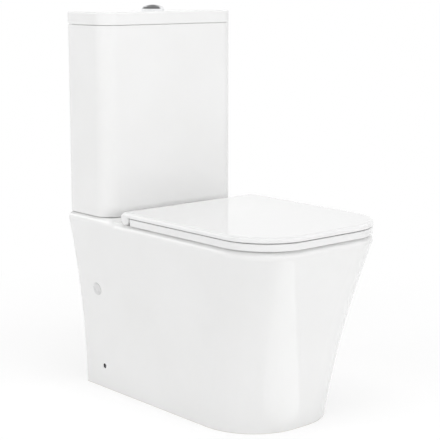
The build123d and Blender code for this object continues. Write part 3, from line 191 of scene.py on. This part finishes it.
class ToiletPlastics(bpy.types.PropertyGroup):
    """Moulded plastics of the seat and the fittings."""

    seat: FloatVectorProperty(
        name="Seat white",
        description="Colour of the seat and its cover",
        subtype="COLOR",
        min=0,
        max=1,
        default=(0.85, 0.85, 0.85),
    )
    white: FloatVectorProperty(
        name="Fitting white",
        description="Colour of the white fittings",
        subtype="COLOR",
        min=0,
        max=1,
        default=(0.78, 0.78, 0.77),
    )
    blue: FloatVectorProperty(
        name="Lever blue",
        description="Colour of the levers and the valve core",
        subtype="COLOR",
        min=0,
        max=1,
        default=(0.05, 0.15, 0.35),
    )
    grey: FloatVectorProperty(
        name="Valve grey",
        description="Colour of the floats, push rods, fill head and dampers",
        subtype="COLOR",
        min=0,
        max=1,
        default=(0.3, 0.31, 0.32),
    )
    cap: FloatVectorProperty(
        name="Cap white",
        description="Colour of the blanking caps in the skirt",
        subtype="COLOR",
        min=0,
        max=1,
        default=(0.72, 0.72, 0.72),
    )
    bush: FloatVectorProperty(
        name="Bush black",
        description="Colour of the bushes of the low side fixings",
        subtype="COLOR",
        min=0,
        max=1,
        default=(0.03, 0.03, 0.032),
    )


class ToiletMetals(bpy.types.PropertyGroup):
    """Chrome and plated steel."""

    chrome: FloatVectorProperty(
        name="Chrome",
        description="Colour of the polished button and the hinge posts",
        subtype="COLOR",
        min=0,
        max=1,
        default=(0.89, 0.895, 0.905),
    )
    steel: FloatVectorProperty(
        name="Plated steel",
        description="Colour of the pins, springs, bolts, washers and brackets",
        subtype="COLOR",
        min=0,
        max=1,
        default=(0.5, 0.5, 0.51),
    )


class ToiletRubbers(bpy.types.PropertyGroup):
    """Seals, washers and soft feet."""

    black: FloatVectorProperty(
        name="Black rubber",
        description="Colour of the seals and cone washers",
        subtype="COLOR",
        min=0,
        max=1,
        default=(0.025, 0.025, 0.026),
    )
    clear: FloatVectorProperty(
        name="Pale rubber",
        description="Colour of the soft feet under the seat and the cover",
        subtype="COLOR",
        min=0,
        max=1,
        default=(0.55, 0.55, 0.54),
    )


class ToiletStage(bpy.types.PropertyGroup):
    """Floor, light and camera."""

    floor: FloatVectorProperty(
        name="Floor",
        description="Colour of the floor",
        subtype="COLOR",
        min=0,
        max=1,
        default=(0.96, 0.96, 0.96),
    )
    shadow: FloatProperty(
        name="Shadow",
        description="How much of the object's shadow the white floor shows",
        subtype="FACTOR",
        min=0,
        max=1,
        default=0.3,
    )
    sky: FloatProperty(
        name="Room light",
        description="Strength of the even light from all round",
        min=0,
        default=0.4,
    )
    shadow_reach: FloatProperty(
        name="Shadow reach",
        description="How far from the middle of the floor the shadow shows",
        unit="LENGTH",
        min=0.01,
        default=1.4,
    )
    open_floor: FloatProperty(
        name="Open floor",
        description="Level of the matt floor where nothing shades it",
        min=0,
        default=0.9,
    )
    ceiling: FloatProperty(
        name="Ceiling",
        description="How bright the ceiling is where polished pieces mirror it",
        subtype="FACTOR",
        min=0,
        max=1,
        default=0.2,
    )
    camera: FloatVectorProperty(
        name="Camera place",
        description="Where the camera stands",
        subtype="XYZ",
        unit="LENGTH",
        default=(-1.7884, -2.0263, 0.897),
    )
    azimuth: FloatProperty(
        name="Camera azimuth",
        description="Turn of the camera round the object, 0 in front of it",
        subtype="ANGLE",
        default=radians(-41.147),
    )
    elevation: FloatProperty(
        name="Camera elevation",
        description="How steeply the camera looks down",
        subtype="ANGLE",
        default=radians(10.505),
    )
    lens: FloatProperty(
        name="Lens",
        description="Focal length on a 36 mm sensor",
        unit="CAMERA",
        min=1,
        default=106.8,
    )


def new_group(name, inputs, outputs):
    """An empty shader node group with named sockets, and its input and output nodes."""
    group = bpy.data.node_groups.new(name, "ShaderNodeTree")
    for label, kind, default in inputs:
        socket = group.interface.new_socket(label, in_out="INPUT", socket_type=kind)
        socket.default_value = default
    for label, kind in outputs:
        group.interface.new_socket(label, in_out="OUTPUT", socket_type=kind)
    start = group.nodes.new("NodeGroupInput")
    end = group.nodes.new("NodeGroupOutput")
    return group, start.outputs, end.inputs


def add(tree, kind, values=None, **settings):
    """A node with its settings and socket values; a value that is a socket is linked."""
    node = tree.nodes.new(kind)
    for key, value in settings.items():
        setattr(node, key, value)
    for key, value in (values or {}).items():
        if isinstance(value, bpy.types.NodeSocket):
            tree.links.new(value, node.inputs[key])
        else:
            node.inputs[key].default_value = value
    return node


def place(tree):
    """Places on the object, in metres in the shared frame."""
    return add(tree, "ShaderNodeTexCoord").outputs["Object"]


def blend_colours(tree, factor, first, second):
    """A colour mixed between two others."""
    node = add(tree, "ShaderNodeMix", {"Factor": factor}, data_type="RGBA")
    for key, value in (("A", first), ("B", second)):
        socket = next(s for s in node.inputs if s.name == key and s.type == "RGBA")
        if isinstance(value, bpy.types.NodeSocket):
            tree.links.new(value, socket)
        else:
            socket.default_value = value
    return next(s for s in node.outputs if s.type == "RGBA")


def spread(tree, value, low, high, to_low=0.0, to_high=1.0):
    """A value stretched from one range to another."""
    values = {"Value": value, "From Min": low, "From Max": high, "To Min": to_low, "To Max": to_high}
    return add(tree, "ShaderNodeMapRange", values).outputs["Result"]


def noise(tree, where, scale, detail):
    """A cloud of values from 0 to 1."""
    values = {"Vector": where, "Scale": scale, "Detail": detail}
    return add(tree, "ShaderNodeTexNoise", values).outputs["Fac"]


def combine(tree, operation, first, second):
    """Two values joined by a step of arithmetic."""
    return add(tree, "ShaderNodeMath", {0: first, 1: second}, operation=operation).outputs[0]


def darken(tree, colour, cloud, share):
    """A colour that loses up to a share of its light where a cloud is dense."""
    keep = combine(tree, "SUBTRACT", 1.0, combine(tree, "MULTIPLY", cloud, share))
    values = {0: colour, "Scale": keep}
    return add(tree, "ShaderNodeVectorMath", values, operation="SCALE").outputs["Vector"]


def glaze_group():
    """Fired glaze: slow clouds of tone, long ripples and a few pin pricks."""
    group, given, result = new_group(
        "Fired glaze",
        [
            ("Thin", "NodeSocketColor", (0.8, 0.8, 0.8, 1)),
            ("Thick", "NodeSocketColor", (0.85, 0.85, 0.85, 1)),
            ("Cloud scale", "NodeSocketFloat", 5.0),
            ("Ripple scale", "NodeSocketFloat", 22.0),
            ("Smear scale", "NodeSocketFloat", 14.0),
            ("Prick scale", "NodeSocketFloat", 70.0),
            ("Prick size", "NodeSocketFloat", 0.035),
            ("Prick depth", "NodeSocketFloat", 0.6),
            ("Smooth", "NodeSocketFloat", 0.05),
            ("Dull", "NodeSocketFloat", 0.1),
        ],
        [("Color", "NodeSocketColor"), ("Roughness", "NodeSocketFloat"), ("Height", "NodeSocketFloat")],
    )
    where = place(group)
    cloud = spread(group, noise(group, where, given["Cloud scale"], detail=3), CLOUD_LOW, NOISE_HIGH)
    ripple = noise(group, where, given["Ripple scale"], detail=1)
    pricks = add(group, "ShaderNodeTexVoronoi", {"Vector": where, "Scale": given["Prick scale"]})
    prick = spread(group, pricks.outputs["Distance"], 0.0, given["Prick size"], given["Prick depth"], 0.0)
    height = combine(group, "SUBTRACT", ripple, prick)
    smear = noise(group, where, given["Smear scale"], detail=5)
    rough = spread(group, smear, NOISE_LOW, NOISE_HIGH, given["Smooth"], given["Dull"])
    links = group.links
    links.new(blend_colours(group, cloud, given["Thin"], given["Thick"]), result["Color"])
    links.new(rough, result["Roughness"])
    links.new(height, result["Height"])
    return group


def moulding_group():
    """Moulded skin: faint flow clouds, a fine grain and rubbed patches."""
    group, given, result = new_group(
        "Moulded skin",
        [
            ("Colour", "NodeSocketColor", (0.5, 0.5, 0.5, 1)),
            ("Cloud", "NodeSocketFloat", 0.06),
            ("Cloud scale", "NodeSocketFloat", 18.0),
            ("Rub scale", "NodeSocketFloat", 40.0),
            ("Grain scale", "NodeSocketFloat", 900.0),
            ("Smooth", "NodeSocketFloat", 0.3),
            ("Dull", "NodeSocketFloat", 0.5),
        ],
        [("Color", "NodeSocketColor"), ("Roughness", "NodeSocketFloat"), ("Height", "NodeSocketFloat")],
    )
    where = place(group)
    cloud = noise(group, where, given["Cloud scale"], detail=4)
    rubbed = noise(group, where, given["Rub scale"], detail=5)
    links = group.links
    links.new(darken(group, given["Colour"], cloud, given["Cloud"]), result["Color"])
    rough = spread(group, rubbed, NOISE_LOW, NOISE_HIGH, given["Smooth"], given["Dull"])
    links.new(rough, result["Roughness"])
    links.new(noise(group, where, given["Grain scale"], detail=2), result["Height"])
    return group


def metal_group():
    """Metal skin: faint tone clouds, fine scratches and finger marks."""
    group, given, result = new_group(
        "Metal skin",
        [
            ("Colour", "NodeSocketColor", (0.6, 0.6, 0.6, 1)),
            ("Stain", "NodeSocketFloat", 0.1),
            ("Stain scale", "NodeSocketFloat", 60.0),
            ("Mark scale", "NodeSocketFloat", 90.0),
            ("Scratch scale", "NodeSocketFloat", 300.0),
            ("Smooth", "NodeSocketFloat", 0.05),
            ("Dull", "NodeSocketFloat", 0.15),
        ],
        [("Color", "NodeSocketColor"), ("Roughness", "NodeSocketFloat"), ("Height", "NodeSocketFloat")],
    )
    where = place(group)
    stain = noise(group, where, given["Stain scale"], detail=4)
    marks = noise(group, where, given["Mark scale"], detail=6)
    squeeze = (1.0, 1.0, 12.0)
    level = add(group, "ShaderNodeMapping", {"Vector": where, "Scale": squeeze}).outputs["Vector"]
    links = group.links
    links.new(darken(group, given["Colour"], stain, given["Stain"]), result["Color"])
    rough = spread(group, marks, NOISE_LOW, NOISE_HIGH, given["Smooth"], given["Dull"])
    links.new(rough, result["Roughness"])
    links.new(noise(group, level, given["Scratch scale"], detail=2), result["Height"])
    return group


def shared(name, maker):
    """A shared node group, built the first time it is asked for."""
    return bpy.data.node_groups.get(name) or maker()


def solid(colour):
    """A colour with full alpha, as a colour socket takes it."""
    return (*colour, 1.0)


def new_material(name, colour):
    """A material with its Principled shader, shown in its plain colour in the viewport."""
    material = bpy.data.materials.new(name)
    material.use_nodes = True
    material.diffuse_color = solid(colour)
    return material, material.node_tree, material.node_tree.nodes["Principled BSDF"]


def skin(tree, shader, group, values, depth):
    """Places a shared group in a material and wires its colour, roughness and relief to the shader."""
    node = add(tree, "ShaderNodeGroup", node_tree=group)
    for key, value in values.items():
        node.inputs[key].default_value = value
    relief = add(tree, "ShaderNodeBump", {"Height": node.outputs["Height"], "Distance": depth})
    tree.links.new(node.outputs["Color"], shader.inputs["Base Color"])
    tree.links.new(node.outputs["Roughness"], shader.inputs["Roughness"])
    tree.links.new(relief.outputs["Normal"], shader.inputs["Normal"])
    return node


def lacquer(material, weight):
    """Lays a clear gloss coat over a material."""
    shader = material.node_tree.nodes["Principled BSDF"]
    shader.inputs["Coat Weight"].default_value = weight
    shader.inputs["Coat Roughness"].default_value = COAT_ROUGHNESS


def china_material(look):
    """White glaze over china, wiped off the foot."""
    material, tree, shader = new_material("china", look.thick)
    values = {"Thin": solid(look.thin), "Thick": solid(look.thick)}
    node = skin(tree, shader, shared("Fired glaze", glaze_group), values, look.ripple)
    height = add(tree, "ShaderNodeSeparateXYZ", {0: place(tree)}).outputs["Z"]
    bare = spread(tree, height, look.foot, look.foot / 2)
    colour = blend_colours(tree, bare, node.outputs["Color"], solid(look.biscuit))
    tree.links.new(colour, shader.inputs["Base Color"])
    shader.inputs["IOR"].default_value = GLAZE_IOR
    lacquer(material, GLAZE_COAT)
    return material


def plastic_material(name, colour, smooth, dull, cloud=0.05, grain=900.0, depth=0.00001):
    """A moulded plastic."""
    material, tree, shader = new_material(name, colour)
    values = {
        "Colour": solid(colour),
        "Cloud": cloud,
        "Grain scale": grain,
        "Smooth": smooth,
        "Dull": dull,
    }
    skin(tree, shader, shared("Moulded skin", moulding_group), values, depth)
    shader.inputs["IOR"].default_value = PLASTIC_IOR
    return material


def metal_material(name, colour, smooth, dull, stain, depth):
    """A plated or polished metal."""
    material, tree, shader = new_material(name, colour)
    values = {"Colour": solid(colour), "Stain": stain, "Smooth": smooth, "Dull": dull}
    skin(tree, shader, shared("Metal skin", metal_group), values, depth)
    shader.inputs["Metallic"].default_value = 1.0
    return material


def dress(names, material):
    """Gives CAD nodes a material and smooth shading that keeps their real edges."""
    for name in names:
        node = NODES[name]
        node.data.materials.clear()
        node.data.materials.append(material)
        node.data.shade_smooth()
        node.data.set_sharp_from_angle(angle=CREASE)


class TOILET_OT_china(bpy.types.Operator):
    """Glaze the pan, the cistern and the lid"""

    bl_idname = "toilet.china"
    bl_label = "China"

    def execute(self, context):
        dress(CHINA, china_material(context.scene.toilet_china))
        return {"FINISHED"}


class TOILET_OT_seat(bpy.types.Operator):
    """Finish the seat ring, its cover and the soft feet under both"""

    bl_idname = "toilet.seat"
    bl_label = "Seat and cover"

    def execute(self, context):
        white = context.scene.toilet_plastics.seat
        finish = {"smooth": 0.04, "dull": 0.1, "cloud": 0.02, "grain": 400.0, "depth": 0.000004}
        seat = plastic_material("seat_white", white, **finish)
        lacquer(seat, SEAT_COAT)
        dress(SEAT, seat)
        clear = context.scene.toilet_rubbers.clear
        dress(FEET, plastic_material("clear_rubber", clear, smooth=0.4, dull=0.6))
        return {"FINISHED"}


class TOILET_OT_hinges(bpy.types.Operator):
    """Finish the hinge posts and the soft-close cartridges"""

    bl_idname = "toilet.hinges"
    bl_label = "Hinges"

    def execute(self, context):
        chrome = context.scene.toilet_metals.chrome
        finish = {"smooth": 0.08, "dull": 0.2, "stain": 0.08, "depth": 0.000004}
        dress(POSTS, metal_material("hinge_chrome", chrome, **finish))
        grey = context.scene.toilet_plastics.grey
        dress(DAMPERS, plastic_material("grey_plastic", grey, smooth=0.35, dull=0.55))
        return {"FINISHED"}


class TOILET_OT_button(bpy.types.Operator):
    """Polish the split button and its rim"""

    bl_idname = "toilet.button"
    bl_label = "Button"

    def execute(self, context):
        chrome = context.scene.toilet_metals.chrome
        finish = {"smooth": 0.03, "dull": 0.09, "stain": 0.06, "depth": 0.000002}
        dress(BUTTON, metal_material("chrome", chrome, **finish))
        return {"FINISHED"}


class TOILET_OT_fittings(bpy.types.Operator):
    """Finish the plastic fittings of both valves and their nuts"""

    bl_idname = "toilet.fittings"
    bl_label = "Valves and nuts"

    def execute(self, context):
        plastics = context.scene.toilet_plastics
        dress(VALVES + NUTS, plastic_material("white_plastic", plastics.white, smooth=0.25, dull=0.45))
        dress(LEVERS, plastic_material("blue_plastic", plastics.blue, smooth=0.3, dull=0.5, cloud=0.1))
        dress(FLOATS, plastic_material("valve_grey", plastics.grey, smooth=0.3, dull=0.5, cloud=0.08))
        return {"FINISHED"}


class TOILET_OT_steel(bpy.types.Operator):
    """Plate the pins, studs, bolts, washers, springs and floor brackets"""

    bl_idname = "toilet.steel"
    bl_label = "Steel"

    def execute(self, context):
        steel = context.scene.toilet_metals.steel
        finish = {"smooth": 0.22, "dull": 0.45, "stain": 0.2, "depth": 0.00001}
        dress(PINS + SPRINGS + FASTENERS + BRACKETS, metal_material("steel", steel, **finish))
        return {"FINISHED"}


def stand_coil(joint, soft):
    """A steel coil in a spring's place, carried by the joint's parent body, with the spring itself hidden.
    """
    node = soft["node"]
    coil = bpy.data.objects.new(f"{node}_coil", NODES[node].data.copy())
    bpy.context.scene.collection.objects.link(coil)
    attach(coil, joint["parent"])
    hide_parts(node)
    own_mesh(coil)


class TOILET_OT_springs(bpy.types.Operator):
    """Stand a coil in place of each button's spring"""

    bl_idname = "toilet.springs"
    bl_label = "Springs"

    def execute(self, context):
        for joint in frame["joints"]:
            for soft in joint.get("deforming_nodes", ()):
                stand_coil(joint, soft)
        return {"FINISHED"}


class TOILET_OT_rubber(bpy.types.Operator):
    """Finish the seals, cone washers and pads"""

    bl_idname = "toilet.rubber"
    bl_label = "Rubber"

    def execute(self, context):
        black = context.scene.toilet_rubbers.black
        finish = {"smooth": 0.55, "dull": 0.8, "cloud": 0.3, "grain": 500.0, "depth": 0.00003}
        dress(WASHERS + SEALS, plastic_material("black_rubber", black, **finish))
        return {"FINISHED"}


class TOILET_OT_side_caps(bpy.types.Operator):
    """Finish the blanking caps and the dark bushes in the skirt"""

    bl_idname = "toilet.side_caps"
    bl_label = "Side caps"

    def execute(self, context):
        plastics = context.scene.toilet_plastics
        dress(CAPS, plastic_material("cap_white", plastics.cap, smooth=0.2, dull=0.4))
        dress(BUSHES, plastic_material("dark_nylon", plastics.bush, smooth=0.35, dull=0.6, cloud=0.2))
        return {"FINISHED"}


def seen_directly(tree):
    """1 for rays from the camera, a mirror or glass, which see the white background."""
    path = add(tree, "ShaderNodeLightPath").outputs
    direct = combine(tree, "MAXIMUM", path["Is Camera Ray"], path["Is Glossy Ray"])
    return combine(tree, "MAXIMUM", direct, path["Is Transmission Ray"])


def white_floor(look):
    """Floor that shows a share of the toilet's shadow and is otherwise the white of the background."""
    material = bpy.data.materials.new("studio_floor")
    material.use_nodes = True
    tree = material.node_tree
    tree.nodes.clear()
    matt = add(tree, "ShaderNodeBsdfDiffuse", {"Color": solid(look.floor)}).outputs[0]
    away = add(tree, "ShaderNodeVectorMath", {0: place(tree)}, operation="LENGTH").outputs["Value"]
    near, far = look.shadow_reach / 2, look.shadow_reach
    lift = (1 - look.shadow * look.open_floor) / (1 - look.shadow)
    glow = spread(tree, away, near, far, lift, 1.0)
    white = add(tree, "ShaderNodeEmission", {"Color": WHITE, "Strength": glow}).outputs[0]
    bright = spread(tree, away, near, far, 1.0 - look.shadow, 1.0)
    share = combine(tree, "MULTIPLY", seen_directly(tree), bright)
    mixed = add(tree, "ShaderNodeMixShader", {0: share, 1: matt, 2: white}).outputs[0]
    add(tree, "ShaderNodeOutputMaterial", {"Surface": mixed})
    return material


def panel(name, centre, aim, width, height, power):
    """A soft rectangular lamp that points at a place."""
    data = bpy.data.lights.new(name, "AREA")
    data.shape = "RECTANGLE"
    data.size = width
    data.size_y = height
    data.energy = power
    lamp = bpy.data.objects.new(name, data)
    lamp.location = centre
    lamp.rotation_euler = (Vector(aim) - Vector(centre)).to_track_quat("-Z", "Y").to_euler()
    bpy.context.scene.collection.objects.link(lamp)
    return lamp


class TOILET_OT_stage(bpy.types.Operator):
    """Lay the floor, hang the lamps and stand the camera"""

    bl_idname = "toilet.stage"
    bl_label = "Stage"

    def execute(self, context):
        look = context.scene.toilet_stage
        self.lay_floor(look)
        self.light_room(context, look)
        self.hang_lamps()
        self.stand_camera(context, look)
        context.scene.view_settings.view_transform = "Standard"
        return {"FINISHED"}

    def lay_floor(self, look):
        """A wide floor just under the foot of the pan."""
        mesh = bpy.data.meshes.new("studio_floor")
        below = CAD_BOX[0].z - FLOOR_DROP
        sides = ((-1, -1), (1, -1), (1, 1), (-1, 1))
        mesh.from_pydata([(x * FLOOR_REACH, y * FLOOR_REACH, below) for x, y in sides], [], [(0, 1, 2, 3)])
        mesh.materials.append(white_floor(look))
        floor = bpy.data.objects.new("studio_floor", mesh)
        bpy.context.scene.collection.objects.link(floor)

    def light_room(self, context, look):
        """Even light from all round, white where it is seen, with a darker ceiling in mirrors."""
        world = bpy.data.worlds.new("studio")
        context.scene.world = world
        world.use_nodes = True
        tree = world.node_tree
        tree.nodes.clear()
        room = add(tree, "ShaderNodeBackground", {"Color": WHITE, "Strength": look.sky}).outputs[0]
        mirrored = add(tree, "ShaderNodeLightPath").outputs["Is Glossy Ray"]
        way = add(tree, "ShaderNodeTexCoord").outputs["Generated"]
        way = add(tree, "ShaderNodeSeparateXYZ", {0: way}).outputs
        high = spread(tree, way["Z"], DARK_FROM_Z, DARK_FULL_Z, 0.0, 1 - look.ceiling)
        aside = spread(tree, way["X"], DARK_FROM_X, DARK_FULL_X)
        lost = combine(tree, "MULTIPLY", mirrored, combine(tree, "MULTIPLY", high, aside))
        kept = combine(tree, "SUBTRACT", 1.0, lost)
        white = add(tree, "ShaderNodeBackground", {"Color": WHITE, "Strength": kept}).outputs[0]
        mixed = add(tree, "ShaderNodeMixShader", {0: seen_directly(tree), 1: room, 2: white}).outputs[0]
        add(tree, "ShaderNodeOutputWorld", {"Surface": mixed})

    def hang_lamps(self):
        """Soft lamps round the toilet, and two more that only show in the gloss."""
        middle = (CAD_BOX[0] + CAD_BOX[1]) / 2
        for name, centre, width, height, power in SOFTBOXES:
            panel(name, centre, middle, width, height, power).visible_glossy = False
        above = CARD_PLACE + Vector((0, 0, 1))
        card = panel("floor_card", CARD_PLACE, above, CARD_WIDTH, CARD_DEPTH, CARD_POWER)
        card.data.shape = "ELLIPSE"
        strip = panel("rear_strip", STRIP_PLACE, middle, STRIP_WIDTH, STRIP_HEIGHT, STRIP_POWER)
        for lamp in (card, strip):
            lamp.visible_diffuse = False

    def stand_camera(self, context, look):
        """The camera in front of the toilet, to its left."""
        data = bpy.data.cameras.new("photo_camera")
        data.sensor_width = SENSOR_WIDTH
        data.lens = look.lens
        data.clip_end = VIEW_END
        camera = bpy.data.objects.new("photo_camera", data)
        camera.location = look.camera
        camera.rotation_euler = Euler((radians(90) - look.elevation, 0, look.azimuth), "XYZ")
        context.scene.collection.objects.link(camera)
        context.scene.camera = camera


STEPS = (
    TOILET_OT_china,
    TOILET_OT_seat,
    TOILET_OT_hinges,
    TOILET_OT_button,
    TOILET_OT_fittings,
    TOILET_OT_steel,
    TOILET_OT_springs,
    TOILET_OT_rubber,
    TOILET_OT_side_caps,
    TOILET_OT_stage,
)
LOOKS = {
    "toilet_china": ToiletChina,
    "toilet_plastics": ToiletPlastics,
    "toilet_metals": ToiletMetals,
    "toilet_rubbers": ToiletRubbers,
    "toilet_stage": ToiletStage,
}


class TOILET_PT_looks(bpy.types.Panel):
    """Buttons for each group of pieces and for the stage"""

    bl_label = "Toilet"
    bl_idname = "TOILET_PT_looks"
    bl_space_type = "VIEW_3D"
    bl_region_type = "UI"
    bl_category = "Toilet"

    def draw(self, context):
        for step in STEPS:
            self.layout.operator(step.bl_idname)
        for name, look in LOOKS.items():
            box = self.layout.box()
            for key in look.__annotations__:
                box.prop(getattr(context.scene, name), key)


def register():
    """Adds the looks, the steps and the panel to the session."""
    for name, look in LOOKS.items():
        bpy.utils.register_class(look)
        setattr(bpy.types.Scene, name, PointerProperty(type=look))
    for step in STEPS:
        bpy.utils.register_class(step)
    bpy.utils.register_class(TOILET_PT_looks)


def unregister():
    """Takes the looks, the steps and the panel out of the session."""
    bpy.utils.unregister_class(TOILET_PT_looks)
    for step in reversed(STEPS):
        bpy.utils.unregister_class(step)
    for name, look in reversed(LOOKS.items()):
        delattr(bpy.types.Scene, name)
        bpy.utils.unregister_class(look)


def main():
    """Runs every step in order."""
    register()
    bpy.ops.toilet.china()
    bpy.ops.toilet.seat()
    bpy.ops.toilet.hinges()
    bpy.ops.toilet.button()
    bpy.ops.toilet.fittings()
    bpy.ops.toilet.steel()
    bpy.ops.toilet.springs()
    bpy.ops.toilet.rubber()
    bpy.ops.toilet.side_caps()
    bpy.ops.toilet.stage()


if __name__ == "__main__":
    main()
